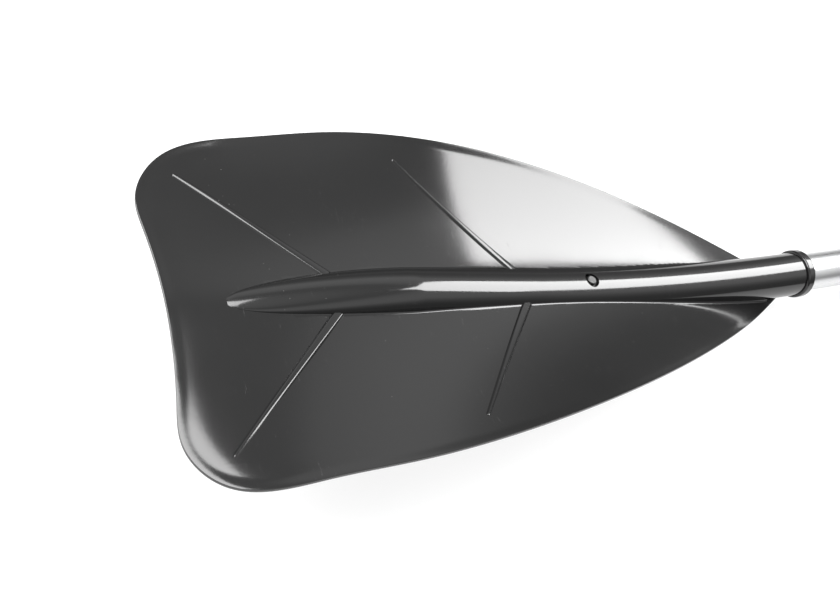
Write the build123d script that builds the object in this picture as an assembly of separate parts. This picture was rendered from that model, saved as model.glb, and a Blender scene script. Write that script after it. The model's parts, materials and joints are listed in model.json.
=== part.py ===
"""Rowing oar with a spoon blade, made as separate parts in one frame.

X runs along the shaft with the blade towards -X, Z is up on the ridge side of the blade,
and the origin is the centre of the oarlock sleeve on the shaft's axis. Millimetres.
"""

import os
from math import cos, degrees, radians, sin, sqrt

from build123d import *

# ---------------------------------------------------------------- driving dimensions

# shaft tubes
SHAFT_R = 14.0
SHAFT_WALL = 1.3
SHAFT_BORE_R = SHAFT_R - SHAFT_WALL
MOUTH_X = -590.0
JOINT_X = -300.0
HANDLE_X = 408.0
SHAFT_IN_SOCKET = 238.0

# blade sheet
BLADE_LENGTH = 459.0
SHEET_T = 3.0
SHEET_START_Z = -13.8
SHEET_SLOPE = 0.204
SHEET_DROOP = 17.0
DROOP_POWER = 5
SHEET_CURVE_RUN = 452.0
WING_FALL = 0.0266
WING_FALL_GAIN = 0.0425
WING_BEND_R = 9.4
CUP = 0.00583
CUP_LOSS = 0.00504
SHEET_GRID_ROWS = 14
SHEET_GRID_STEP = 38.0
SHEET_GRID_START = -10.0
SHEET_GRID_HALF_SPAN = 120
SHEET_GRID_SPAN_STEP = 20
# half width of the blade at distances from the socket mouth, throat first
OUTLINE = (
    (18.0, 12.0),
    (55.0, 29.5),
    (114.5, 52.7),
    (174.0, 71.5),
    (238.0, 87.4),
    (302.0, 98.4),
    (357.0, 102.5),
    (403.0, 102.1),
    (448.7, 94.5),
    (463.5, 71.6),
    (462.5, 50.0),
    (BLADE_LENGTH, 0.0),
)
RIM_WIDTH = 4.0
RIM_RISE = 0.8

# spine: a round socket bent along an arc, then straight, then fading into the sheet
SOCKET_R = 16.0
SOCKET_FIT = 0.05
BEND_R = 1170.0
BEND_LENGTH = 243.0
SPINE_STRAIGHT = 88.0
SPINE_TIP = 104.0
CREST_OVER_SHEET = 9.59
FOOT_HALF_WIDTH = 14.66
KEEL_RISE = 13.5
TIP_SECTIONS = (0.2, 0.4, 0.58, 0.74, 0.86, 0.94, 0.98)
BORE_DEPTH = 241.0

# stiffening ribs: distance from the mouth and half span at the outer and inner ends
RIBS = (
    ((442.0, 81.5), (373.0, 12.0)),
    ((313.5, 84.0), (251.0, 11.5)),
)
RIB_OUTER_R = 1.3
RIB_INNER_R = 2.6
RIB_SINK = 0.4
RIB_STEPS = 5
ABOVE_SHEET = 20.0
SKIN = 0.2

# ring on the socket mouth
RING_R = 17.8
RING_SEAT_R = 15.3
RING_SEAT_LENGTH = 5.0
RING_LIP = 2.0
RING_ROUND = 1.6

# snap button that holds the blade
BUTTON_ALONG = 201.4
BUTTON_R = 3.1
BUTTON_TOP_R = 16.2
BUTTON_FOOT_R = 8.5
BUTTON_FLANGE_R = 4.6
BUTTON_FLANGE_T = 1.2
BUTTON_TOP_ROUND = 0.7
BUTTON_HOLE_R = 5.1
BUTTON_RUN = 0.08
SPRING_T = 0.8
SPRING_WIDTH = 9.0
SPRING_LENGTH = 44.0
SPRING_CROWN = 4.0
SPRING_GAP = 0.05

# joint between the two halves of the shaft
FERRULE_R = 12.65
FERRULE_WALL = 1.6
FERRULE_BORE_R = FERRULE_R - FERRULE_WALL
FERRULE_IN_LOWER = 90.0
FERRULE_IN_UPPER = 110.0
COLLAR_T = 3.0
COLLAR_R = 15.4
JOINT_BUTTON_X = JOINT_X + 55.0
JOINT_BUTTON_TOP_R = 17.5
JOINT_BUTTON_FOOT_R = 6.6
JOINT_BUTTON_ROUND = 1.2

# rivets
RIVET_R = 2.0
RIVET_HEAD_R = 3.6
RIVET_HEAD_H = 1.1
RIVET_HEAD_SINK = 0.6
FERRULE_RIVETS_BACK = (25.0, 65.0)
RIVET_TAIL_R = 2.8
RIVET_TAIL_H = 1.0

# sleeve, stop ring and drip ring
SLEEVE_R = 19.0
SLEEVE_HALF = 125.0
SLEEVE_END_CHAMFER = 2.5
SLEEVE_RIVET_X = 112.0
SLEEVE_SEAT_R = 16.5
SLEEVE_POCKET_R = 3.8
SLEEVE_GROOVE_X = 52.0
SLEEVE_GROOVE_WIDTH = 3.0
SLEEVE_GROOVE_DEPTH = 1.0
STOP_X = 62.0
STOP_WIDTH = 16.0
STOP_R = 31.0
STOP_ROUND = 4.0
SLIDE_FIT = 0.05
DRIP_X = -470.0
DRIP_WIDTH = 18.0
DRIP_HUB_R = 18.0
DRIP_HUB_CHAMFER = 1.5
DRIP_LIP_R = 33.0
DRIP_LIP_T = 2.5
DRIP_ROOT_T = 4.5
DRIP_LEAN = 5.0

# grip and end cap
GRIP_START_X = 286.0
GRIP_R = 17.5
GRIP_ROUND = 3.0
GRIP_PLAIN_START = 12.0
GRIP_PLAIN_END = 4.0
GRIP_GROOVE_DEPTH = 1.1
GRIP_GROOVE_WIDTH = 3.0
GRIP_GROOVES = 12
CAP_FLANGE_R = 17.5
CAP_FLANGE_T = 7.0
CAP_ROUND = 4.0
CAP_SPIGOT = 24.0

# foam plugs
PLUG_R = 12.3
LOWER_PLUG = (-560.0, -420.0)
UPPER_PLUG = (-100.0, 80.0)
END_PLUG_LENGTH = 10.0
END_PLUG_R = 12.6

REACH = 200.0
ALONG_X = Vector(1, 0, 0)
UP = Vector(0, 0, 1)
JOINT_BUTTON_POINT = Vector(JOINT_BUTTON_X, 0, 0)
BEND_AXIS = Axis((MOUTH_X, 0, BEND_R), (0, 1, 0))


# ---------------------------------------------------------------- shared shapes


def rod(x0, x1, radius):
    """Solid round bar on the shaft axis between two stations."""
    return Solid.make_cylinder(radius, x1 - x0, Plane((x0, 0, 0), z_dir=ALONG_X))


def tube(x0, x1, outer, inner):
    """Round tube on the shaft axis between two stations."""
    return rod(x0, x1, outer) - rod(x0 - 1, x1 + 1, inner)


def bent_rod(radius, start, end):
    """Round bar along the spine's arc between two arc lengths from the mouth."""
    circle = Plane((MOUTH_X, 0, 0), z_dir=(-1, 0, 0)) * Circle(radius)
    bar = revolve(circle, BEND_AXIS, degrees((end - start) / BEND_R))
    return bar.rotate(BEND_AXIS, degrees(start / BEND_R))


def bend_plane(along):
    """Plane across the arc at an arc length from the mouth: normal to the tip, Y to the crest."""
    turn = along / BEND_R
    origin = (MOUTH_X - BEND_R * sin(turn), 0, BEND_R * (1 - cos(turn)))
    return Plane(origin, x_dir=(0, -1, 0), z_dir=(-cos(turn), 0, sin(turn)))


def radial_pin(point, direction, radius, r0, r1):
    """Round pin that stands out from an axis point between two radii."""
    start = point + direction * r0
    return Solid.make_cylinder(radius, r1 - r0, Plane(start, z_dir=direction))


def button_frame():
    """Point on the bent axis under the blade button, and the way the button stands."""
    across = bend_plane(BUTTON_ALONG)
    return across.origin, across.y_dir


def sheet_height(u, y):
    """Height of the sheet's ridge-side face at a distance from the mouth and a half span."""
    run = u / SHEET_CURVE_RUN
    droop = SHEET_DROOP * (u / BLADE_LENGTH) ** DROOP_POWER
    middle = SHEET_START_Z + SHEET_SLOPE * u - droop
    fall = (WING_FALL + WING_FALL_GAIN * run) * (sqrt(y * y + WING_BEND_R**2) - WING_BEND_R)
    cup = (CUP - CUP_LOSS * run) * y * y
    return middle - fall + cup


# ---------------------------------------------------------------- blade


def sheet_layer(top, bottom):
    """Curved layer over the whole plan, between two offsets from the ridge-side face."""
    rows = []
    half = SHEET_GRID_HALF_SPAN
    spans = range(-half, half + 1, SHEET_GRID_SPAN_STEP)
    for i in range(SHEET_GRID_ROWS):
        u = SHEET_GRID_START + SHEET_GRID_STEP * i
        rows.append([Vector(MOUTH_X - u, y, sheet_height(u, y) + top) for y in spans])
    face = Face.make_surface_from_array_of_points(rows, tol=0.02)
    return extrude(face, amount=top - bottom, dir=(0, 0, -1))


def outline_face(inset):
    """Plan outline of the blade, each of its points drawn in square to the edge by an inset."""
    upper = [Vector(MOUTH_X - u, y, 0) for u, y in OUTLINE]
    round_trip = upper + [Vector(p.X, -p.Y, 0) for p in reversed(upper[:-1])]
    points = []
    for i, point in enumerate(round_trip):
        before = round_trip[max(i - 1, 0)]
        after = round_trip[min(i + 1, len(round_trip) - 1)]
        along = (after - before).normalized()
        points.append(point + Vector(-along.Y, along.X, 0) * inset)
    edge = Spline(points)
    return make_face([edge, Line(edge @ 1, edge @ 0)])


def outline_prism(inset):
    """The plan outline as a tall column."""
    return extrude(Plane((0, 0, -REACH / 2)) * outline_face(inset), amount=REACH)


def fade(t, start_power, end_power):
    """Fall from one to zero: flat at first, steep at the end, as set by the two powers."""
    return (1 - t**start_power) ** end_power


def spine_tip():
    """End of the spine, a blunt nose that fades into the sheet."""
    start = bend_plane(BEND_LENGTH).offset(SPINE_STRAIGHT)
    sections = [start * Circle(SOCKET_R)]
    for t in TIP_SECTIONS:
        plane = start.offset(SPINE_TIP * t)
        sheet = (sheet_height(MOUTH_X - plane.origin.X, 0) - plane.origin.Z) * plane.y_dir.Z
        crest = sheet + CREST_OVER_SHEET * fade(t, 1.8, 0.9)
        keel = -SOCKET_R + KEEL_RISE * t**1.5
        foot = FOOT_HALF_WIDTH * fade(t, 1.9, 0.46)
        middle = (crest + keel) / 2
        half_height = (crest - keel) / 2
        half_width = foot / sqrt(1 - ((sheet - middle) / half_height) ** 2)
        sections.append(plane * Pos(0, middle) * Ellipse(half_width, half_height))
    return loft(sections)


def spine():
    """Outside of the socket and its ridge."""
    straight_start = bend_plane(BEND_LENGTH)
    straight = extrude(straight_start * Circle(SOCKET_R), amount=SPINE_STRAIGHT)
    return bent_rod(SOCKET_R, 0, BEND_LENGTH) + straight + spine_tip()


def rib(outer, inner, side):
    """Tapered bead that stands out of the sheet between two plan points."""
    sections = []
    for i in range(RIB_STEPS + 1):
        t = i / RIB_STEPS
        u = outer[0] + (inner[0] - outer[0]) * t
        y = outer[1] + (inner[1] - outer[1]) * t
        radius = RIB_OUTER_R + (RIB_INNER_R - RIB_OUTER_R) * t
        centre = Vector(MOUTH_X - u, side * y, sheet_height(u, y) - RIB_SINK * radius)
        along = Vector(outer[0] - inner[0], side * (inner[1] - outer[1]), 0)
        sections.append(Plane(centre, z_dir=along) * Circle(radius))
    return loft(sections)


def make_blade():
    body = sheet_layer(RIM_RISE, -SHEET_T) & outline_prism(0)
    body -= sheet_layer(2 * RIM_RISE, 0.0) & outline_prism(RIM_WIDTH)
    above = sheet_layer(ABOVE_SHEET, SKIN - SHEET_T)
    for outer, inner in RIBS:
        for side in (-1, 1):
            body += rib(outer, inner, side) & above
    body += spine()
    seat = rod(MOUTH_X - RING_SEAT_LENGTH, MOUTH_X + 1, 3 * SOCKET_R)
    body -= seat - rod(MOUTH_X - RING_SEAT_LENGTH, MOUTH_X + 1, RING_SEAT_R)
    bore_r = SHAFT_R + SOCKET_FIT
    body -= bent_rod(bore_r, 0, BORE_DEPTH) + rod(MOUTH_X, MOUTH_X + 1, bore_r)
    point, up = button_frame()
    return body - radial_pin(point, up, BUTTON_HOLE_R, SHAFT_BORE_R, 3 * SOCKET_R)


def make_socket_ring():
    x0 = MOUTH_X - RING_SEAT_LENGTH
    x1 = MOUTH_X + RING_LIP
    outside = rod(x0, x1, RING_R)
    outside = fillet(outside.edges(), RING_ROUND)
    over_socket = rod(x0 - 1, MOUTH_X, RING_SEAT_R)
    return outside - over_socket - rod(x0, x1 + 1, SHAFT_R + 3 * SOCKET_FIT)


# ---------------------------------------------------------------- shaft


def make_lower_shaft():
    x1 = JOINT_X - COLLAR_T / 2
    outside = rod(MOUTH_X, x1, SHAFT_R) + bent_rod(SHAFT_R, 0, SHAFT_IN_SOCKET)
    inside = rod(MOUTH_X, x1 + 1, SHAFT_BORE_R) + bent_rod(SHAFT_BORE_R, 0, SHAFT_IN_SOCKET + 1)
    point, up = button_frame()
    hole = radial_pin(point, up, BUTTON_R + BUTTON_RUN, BUTTON_FOOT_R, 2 * SHAFT_R)
    shaft = outside - inside - hole
    for x, turn in ferrule_rivet_places():
        shaft -= rivet_hole(x, turn)
    return shaft


def make_lower_shaft_plug():
    start = SHAFT_IN_SOCKET - END_PLUG_LENGTH
    return bent_rod(END_PLUG_R, start, SHAFT_IN_SOCKET)


def snap_button(point, up, foot_r, top_r, top_round):
    """Round-topped button with a flange that stops it inside the tube."""
    pin = radial_pin(point, up, BUTTON_R, foot_r, top_r)
    pin = fillet(pin.edges().filter_by(GeomType.CIRCLE).sort_by(Axis.Z)[-1], top_round)
    return pin + radial_pin(point, up, BUTTON_FLANGE_R, foot_r, foot_r + BUTTON_FLANGE_T)


def make_blade_button():
    point, up = button_frame()
    return snap_button(point, up, BUTTON_FOOT_R, BUTTON_TOP_R, BUTTON_TOP_ROUND)


def leaf_spring(foot_r, bore_r, sag):
    """Bowed leaf spring from under a button foot down to the far side of a bore."""
    half = SPRING_LENGTH / 2
    top = foot_r - SPRING_GAP
    middle = (half * 0.6, 0.0)
    wall = sqrt(bore_r**2 - (SPRING_WIDTH / 2) ** 2)
    floor = SPRING_T + sag + 2 * SPRING_GAP - wall
    crown = Line((-SPRING_CROWN, top), (SPRING_CROWN, top))
    right = Spline([(SPRING_CROWN, top), middle, (half, floor)], tangents=[(1, 0), (1, 0)])
    left = mirror(right, Plane.YZ)
    path = Wire([left.edge(), crown.edge(), right.edge()])
    under = path.translate((0, -SPRING_T, 0))
    ends = [Line(path @ 0, under @ 0), Line(path @ 1, under @ 1)]
    strip = make_face([*path.edges(), *under.edges(), *ends])
    return extrude(Plane.XZ * strip, amount=SPRING_WIDTH / 2, both=True)


def make_blade_button_spring():
    point, _ = button_frame()
    sag = SPRING_LENGTH**2 / (8 * BEND_R)
    spring = leaf_spring(BUTTON_FOOT_R, SHAFT_BORE_R, sag)
    return Pos(*point) * Rot(0, degrees(BUTTON_ALONG / BEND_R), 0) * spring


def make_joint_button():
    foot_r = JOINT_BUTTON_FOOT_R
    return snap_button(JOINT_BUTTON_POINT, UP, foot_r, JOINT_BUTTON_TOP_R, JOINT_BUTTON_ROUND)


def make_joint_button_spring():
    return Pos(JOINT_BUTTON_X, 0, 0) * leaf_spring(JOINT_BUTTON_FOOT_R, FERRULE_BORE_R, 0.0)


def ferrule_rivet_places():
    """Station and turn about the shaft of each rivet that holds the ferrule."""
    return [(JOINT_X - back, turn) for back in FERRULE_RIVETS_BACK for turn in (90.0, -90.0)]


def rivet_direction(turn):
    """Way a rivet points, turned about the shaft from straight up."""
    return Vector(0, sin(radians(turn)), cos(radians(turn)))


def rivet_hole(x, turn):
    """Hole for a rivet shank through every wall on one side of the shaft."""
    return radial_pin(Vector(x, 0, 0), rivet_direction(turn), RIVET_R, 0, 2 * SHAFT_R)


def rivet(x, turn, inner_r, seat_r, seat_bar_r):
    """Blind rivet from a bore to its domed head on a seat, cut back to the seat's bar."""
    point = Vector(x, 0, 0)
    out = rivet_direction(turn)
    reach = 2 * RIVET_HEAD_R
    head = radial_pin(point, out, RIVET_HEAD_R, seat_r - RIVET_HEAD_SINK, seat_r + RIVET_HEAD_H)
    rims = head.edges().filter_by(GeomType.CIRCLE)
    outer_rim = max(rims, key=lambda rim: rim.center().dot(out))
    head = fillet(outer_rim, RIVET_HEAD_H * 0.9) - rod(x - reach, x + reach, seat_bar_r)
    tail = radial_pin(point, out, RIVET_TAIL_R, inner_r - 2 * RIVET_TAIL_H, inner_r)
    tail &= rod(x - reach, x + reach, inner_r)
    shank = radial_pin(point, out, RIVET_R, inner_r - RIVET_TAIL_H, seat_r)
    return (shank + head + tail).solid()


def joint_button_hole():
    """Hole the joint button runs in, through the ferrule and the upper shaft."""
    hole_r = BUTTON_R + BUTTON_RUN
    return radial_pin(JOINT_BUTTON_POINT, UP, hole_r, JOINT_BUTTON_FOOT_R, 2 * SHAFT_R)


def make_joint_ferrule():
    ferrule = tube(
        JOINT_X - FERRULE_IN_LOWER, JOINT_X + FERRULE_IN_UPPER, FERRULE_R, FERRULE_BORE_R
    )
    ferrule -= joint_button_hole()
    for x, turn in ferrule_rivet_places():
        ferrule -= rivet_hole(x, turn)
    return ferrule


def make_ferrule_rivets():
    places = ferrule_rivet_places()
    return Compound([rivet(x, turn, FERRULE_BORE_R, SHAFT_R, SHAFT_R) for x, turn in places])


def make_joint_collar():
    half = COLLAR_T / 2
    return tube(JOINT_X - half, JOINT_X + half, COLLAR_R, FERRULE_R)


def make_upper_shaft():
    shaft = tube(JOINT_X + COLLAR_T / 2, HANDLE_X, SHAFT_R, SHAFT_BORE_R)
    shaft -= joint_button_hole()
    for x, turn in sleeve_rivet_places():
        shaft -= rivet_hole(x, turn)
    return shaft


# ---------------------------------------------------------------- sleeve, rings and grip


def sleeve_rivet_places():
    """Station and turn of each rivet that holds the oarlock sleeve."""
    return [(-SLEEVE_RIVET_X, turn) for turn in (90.0, -90.0)]


def make_oarlock_sleeve():
    body = rod(-SLEEVE_HALF, SLEEVE_HALF, SLEEVE_R)
    body = chamfer(body.edges().filter_by(GeomType.CIRCLE), SLEEVE_END_CHAMFER)
    body -= rod(-SLEEVE_HALF - 1, SLEEVE_HALF + 1, SHAFT_R)
    groove_end = SLEEVE_GROOVE_X + SLEEVE_GROOVE_WIDTH
    body -= tube(SLEEVE_GROOVE_X, groove_end, 2 * SLEEVE_R, SLEEVE_R - SLEEVE_GROOVE_DEPTH)
    for x, turn in sleeve_rivet_places():
        point = Vector(x, 0, 0)
        body -= rivet_hole(x, turn)
        body -= radial_pin(point, rivet_direction(turn), SLEEVE_POCKET_R, SLEEVE_SEAT_R, 2 * SLEEVE_R)
    return body


def make_sleeve_rivets():
    places = sleeve_rivet_places()
    cut_r = SLEEVE_SEAT_R - RIVET_HEAD_SINK
    seat_r = SLEEVE_SEAT_R + RIVET_HEAD_SINK
    return Compound([rivet(x, turn, SHAFT_BORE_R, seat_r, cut_r) for x, turn in places])


def make_stop_ring():
    ring = rod(STOP_X, STOP_X + STOP_WIDTH, STOP_R)
    ring = fillet(ring.edges().filter_by(GeomType.CIRCLE), STOP_ROUND)
    return ring - rod(STOP_X - 1, STOP_X + STOP_WIDTH + 1, SLEEVE_R + SLIDE_FIT)


def make_drip_ring():
    half = DRIP_WIDTH / 2
    shoulder = DRIP_HUB_R - DRIP_HUB_CHAMFER
    root = DRIP_ROOT_T / 2
    lip = -DRIP_LEAN
    profile = Polyline(
        (-half, SHAFT_R + SLIDE_FIT),
        (half, SHAFT_R + SLIDE_FIT),
        (half, shoulder),
        (half - DRIP_HUB_CHAMFER, DRIP_HUB_R),
        (root, DRIP_HUB_R),
        (lip + DRIP_LIP_T / 2, DRIP_LIP_R),
        (lip - DRIP_LIP_T / 2, DRIP_LIP_R),
        (-root, DRIP_HUB_R),
        (DRIP_HUB_CHAMFER - half, DRIP_HUB_R),
        (-half, shoulder),
        close=True,
    )
    section = make_face(profile)
    ring = revolve(section, Axis.X)
    return Pos(DRIP_X, 0, 0) * ring


def make_grip():
    grip = rod(GRIP_START_X, HANDLE_X, GRIP_R)
    grip = fillet(grip.edges().filter_by(GeomType.CIRCLE).sort_by(Axis.X)[0], GRIP_ROUND)
    first = GRIP_START_X + GRIP_PLAIN_START
    pitch = (HANDLE_X - GRIP_PLAIN_END - first) / GRIP_GROOVES
    for i in range(GRIP_GROOVES):
        x = first + pitch * i
        groove_r = GRIP_R - GRIP_GROOVE_DEPTH
        grip -= tube(x, x + GRIP_GROOVE_WIDTH, 2 * GRIP_R, groove_r)
    return grip - rod(GRIP_START_X - 1, HANDLE_X + 1, SHAFT_R)


def make_grip_end_cap():
    flange = rod(HANDLE_X, HANDLE_X + CAP_FLANGE_T, CAP_FLANGE_R)
    flange = fillet(flange.edges().filter_by(GeomType.CIRCLE).sort_by(Axis.X)[-1], CAP_ROUND)
    return flange + rod(HANDLE_X - CAP_SPIGOT, HANDLE_X, SHAFT_BORE_R - SOCKET_FIT)


def make_lower_float_plug():
    return rod(LOWER_PLUG[0], LOWER_PLUG[1], PLUG_R)


def make_upper_float_plug():
    return rod(UPPER_PLUG[0], UPPER_PLUG[1], PLUG_R)


PARTS = {
    "blade": make_blade,
    "socket_ring": make_socket_ring,
    "lower_shaft": make_lower_shaft,
    "lower_shaft_plug": make_lower_shaft_plug,
    "blade_button": make_blade_button,
    "blade_button_spring": make_blade_button_spring,
    "lower_float_plug": make_lower_float_plug,
    "drip_ring": make_drip_ring,
    "joint_ferrule": make_joint_ferrule,
    "ferrule_rivets": make_ferrule_rivets,
    "joint_button": make_joint_button,
    "joint_button_spring": make_joint_button_spring,
    "joint_collar": make_joint_collar,
    "upper_shaft": make_upper_shaft,
    "oarlock_sleeve": make_oarlock_sleeve,
    "sleeve_rivets": make_sleeve_rivets,
    "stop_ring": make_stop_ring,
    "upper_float_plug": make_upper_float_plug,
    "grip": make_grip,
    "grip_end_cap": make_grip_end_cap,
}


def main():
    os.makedirs("parts", exist_ok=True)
    for name, make in PARTS.items():
        shape = make()
        shape.label = name
        export_step(shape, f"parts/{name}.step")


main()
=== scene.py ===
"""Looks of the rowing oar: moulded blade, tube, rubber and metal finishes, floor, light and camera.

Sizes are millimetres in the frame's axes, apart from names that end in _M or _m, and the light and
camera places, which are metres. Along the blade, u is the distance from the socket mouth towards the
blade's end.
"""

import json
import math

import bmesh
import bpy
import numpy as np
from mathutils import Matrix, Vector

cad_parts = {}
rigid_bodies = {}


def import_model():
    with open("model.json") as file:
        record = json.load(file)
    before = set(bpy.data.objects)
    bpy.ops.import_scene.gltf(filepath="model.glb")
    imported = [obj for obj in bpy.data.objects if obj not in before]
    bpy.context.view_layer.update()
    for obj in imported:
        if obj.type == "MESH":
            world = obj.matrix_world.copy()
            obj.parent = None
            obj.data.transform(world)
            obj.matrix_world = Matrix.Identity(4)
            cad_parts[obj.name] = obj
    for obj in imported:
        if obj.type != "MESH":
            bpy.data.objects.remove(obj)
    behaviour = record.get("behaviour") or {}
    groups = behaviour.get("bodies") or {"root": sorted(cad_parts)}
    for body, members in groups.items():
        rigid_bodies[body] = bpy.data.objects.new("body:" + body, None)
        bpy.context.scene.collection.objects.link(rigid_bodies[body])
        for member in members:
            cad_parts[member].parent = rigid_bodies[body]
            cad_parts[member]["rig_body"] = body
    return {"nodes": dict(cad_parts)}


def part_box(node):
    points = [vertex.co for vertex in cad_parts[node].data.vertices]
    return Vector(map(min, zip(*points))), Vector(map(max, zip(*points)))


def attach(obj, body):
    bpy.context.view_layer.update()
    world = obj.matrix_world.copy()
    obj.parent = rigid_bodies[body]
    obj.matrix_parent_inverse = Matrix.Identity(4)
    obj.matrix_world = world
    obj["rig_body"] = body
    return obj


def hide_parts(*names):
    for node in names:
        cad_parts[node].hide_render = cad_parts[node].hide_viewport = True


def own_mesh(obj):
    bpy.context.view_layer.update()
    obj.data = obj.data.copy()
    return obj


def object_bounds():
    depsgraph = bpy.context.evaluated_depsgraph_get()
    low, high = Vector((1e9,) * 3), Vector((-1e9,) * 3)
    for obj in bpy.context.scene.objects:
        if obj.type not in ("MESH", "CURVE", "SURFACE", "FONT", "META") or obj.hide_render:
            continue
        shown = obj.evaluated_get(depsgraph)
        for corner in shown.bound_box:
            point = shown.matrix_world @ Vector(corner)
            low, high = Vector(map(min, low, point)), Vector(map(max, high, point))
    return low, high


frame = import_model()
cad_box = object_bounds()
NODES = frame["nodes"]
MM = 0.001
MERGE_M = 1e-6

# ---------------------------------------------------------------- the blade's form

RING_LIP = 2.0
MOUTH_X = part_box("socket_ring")[1].x / MM - RING_LIP
SHEET_T = 3.0
BLADE_LENGTH = 459.0
SHEET_START_Z = -13.8
SHEET_SLOPE = 0.204
SHEET_DROOP = 17.0
DROOP_POWER = 5
SHEET_CURVE_RUN = 452.0
WING_FALL = 0.0266
WING_FALL_GAIN = 0.0425
WING_BEND_R = 9.4
CUP = 0.00583
CUP_LOSS = 0.00504
# half width of the blade at distances from the socket mouth, throat first
OUTLINE = np.array(
    [
        (18.0, 12.0), (55.0, 29.5), (114.5, 52.7), (174.0, 71.5), (238.0, 87.4), (302.0, 98.4),
        (357.0, 102.5), (403.0, 102.1), (448.7, 94.5), (463.5, 71.6), (462.5, 50.0),
        (BLADE_LENGTH, 0.0),
    ]
)
# the outline's side, from the throat to where the far corner starts
SIDE_OUTLINE = OUTLINE[:8]
# distances from the edge at which the rim's band has a row of points
RIM_OFFSETS = (0.0, 0.15, 0.35, 0.6, 1.0, 1.6, 2.4, 3.2, 4.0, 5.0)
RIM_BAND = 6.0
RIM_RISE = 0.22
RIM_FLAT = 0.4
RIM_FADE = 5.2
EDGE_ROUND = 0.35
EDGE_LINE = 0.22
CURL_REACH = 15.0
CURL_DROP = 0.34
CURL_START = 395.0
CURL_FADE = 45.0
# rows along one side and points across the end: full grid and quick grid
SHEET_GRID = (190, 111)
PROBE_POINTS = 2000
EDGE_POINTS = 700
SOCKET_R = 16.0
BORE_R = 14.05
SEAT_R = 15.3
SEAT_LENGTH = 5.0
BEND_R = 1170.0
BEND_LENGTH = 243.0
SPINE_STRAIGHT = 88.0
SPINE_TIP = 104.0
CREST_OVER_SHEET = 9.59
FOOT_HALF_WIDTH = 14.66
# powers of the fall of the crest and of the foot's width over the spine's tip
CREST_FADE = (1.8, 0.9)
FOOT_FADE = (1.9, 0.46)
KEEL_RISE = 13.5
KEEL_POWER = 1.5
KEEL_COVER = 1.2
NOSE_END = 0.9985
BORE_DEPTH = 241.0
# rings along the socket, the nose and the bore, and points round the spine, the bore and the hole
SOCKET_RINGS = 131
NOSE_RINGS = 70
BORE_RINGS = 61
SPINE_POINTS = 128
BORE_POINTS = 96
HOLE_POINTS = 64
SEAT_STEP = 0.05
BUTTON_ALONG = 201.4
HOLE_R = 5.1
HOLE_EDGE = 0.08
# height over the socket's axis and radius, from inside the bore to clear of the spine
HOLE_PROFILE = (
    (12.0, HOLE_R), (15.7, HOLE_R), (15.95, HOLE_R + HOLE_EDGE), (22.0, HOLE_R + HOLE_EDGE),
)
SPRING_FOOT = 11.8
BLADE_SPRING_PRESSED = 0.86
JOINT_SPRING_PRESSED = 0.76

# an edge that turns by more than this many degrees stays sharp, on the blade and on soft pieces
SHARP_ANGLE = 14.0
SOFT_SHARP_ANGLE = 50.0

# ribs: distance from the mouth and half span at the outer and inner ends
RIBS = (((442.0, 81.5), (373.0, 12.0)), ((313.5, 84.0), (251.0, 11.5)))
RIB_HALF_WIDTH = 1.15
RIB_WIDENS = 1.85
RIB_HEIGHT = 0.55
RIB_RISES = 0.55
RIB_CORNER = 1.5
# how far the round side runs on outwards, under the sheet, as a share of its width
RIB_UNDERCUT = 0.12
RIB_SIDE_POINTS = 10
RIB_ROOT = 1.4
RIB_ROOT_SHARE = 0.8
RIB_CAP = 1.25
RIB_CAP_LEAST = 0.03
RIB_CAP_STEPS = (-1.2, -1.1, -0.9, -0.6, -0.3)
RIB_STATIONS = 121

# small rounds between the spine and the sheet
FOOT_ROUND = 1.8
FOOT_ROUND_LEAST = 0.2
FOOT_ROUND_END = 6.0
FOOT_ROUND_FADE = 60.0
FOOT_ROUND_START = 16.0
FOOT_ROUND_STEP = 2.5
FOOT_OVERLAP = 1.015
FOOT_OVERLAP_LEAST = 0.012
FOOT_BURIED = (1.3, 1.6)
FOOT_OPEN = 0.3
FOOT_EDGE_GAP = 1.2
FOOT_FLAT = 0.97
FOOT_ARC_POINTS = 15
FOOT_SLOPE_STEP = 0.5
FOOT_FEWEST_RINGS = 4
SIDES = (1, -1)


def sheet_height(u, y):
    """Height of the sheet's ridge-side face."""
    run = u / SHEET_CURVE_RUN
    middle = SHEET_START_Z + SHEET_SLOPE * u - SHEET_DROOP * (u / BLADE_LENGTH) ** DROOP_POWER
    fall = (WING_FALL + WING_FALL_GAIN * run) * (np.sqrt(y * y + WING_BEND_R**2) - WING_BEND_R)
    return middle - fall + (CUP - CUP_LOSS * run) * y * y


class Spline:
    """Natural cubic through points, its parameter being the chord length."""

    def __init__(self, points):
        self.p = np.asarray(points, float)
        self.t = np.concatenate([[0], np.cumsum(np.linalg.norm(np.diff(self.p, axis=0), axis=1))])
        h = np.diff(self.t)
        n = len(h)
        a = np.eye(n + 1)
        b = np.zeros_like(self.p)
        slope = np.diff(self.p, axis=0) / h[:, None]
        for i in range(1, n):
            a[i, i - 1 : i + 2] = h[i - 1], 2 * (h[i - 1] + h[i]), h[i]
            b[i] = 6 * (slope[i] - slope[i - 1])
        self.m = np.linalg.solve(a, b)

    def at(self, t):
        """Points and unit tangents."""
        t = np.asarray(t, float)
        i = np.clip(np.searchsorted(self.t, t, side="right") - 1, 0, len(self.t) - 2)
        h = (self.t[i + 1] - self.t[i])[:, None]
        a = (self.t[i + 1] - t)[:, None]
        b = (t - self.t[i])[:, None]
        m0, m1, p0, p1 = self.m[i], self.m[i + 1], self.p[i], self.p[i + 1]
        k0 = p0 / h - m0 * h / 6
        k1 = p1 / h - m1 * h / 6
        point = (m0 * a**3 + m1 * b**3) / (6 * h) + k0 * a + k1 * b
        tangent = (m1 * b**2 - m0 * a**2) / (2 * h) - k0 + k1
        return point, tangent / np.linalg.norm(tangent, axis=1, keepdims=True)


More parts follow.
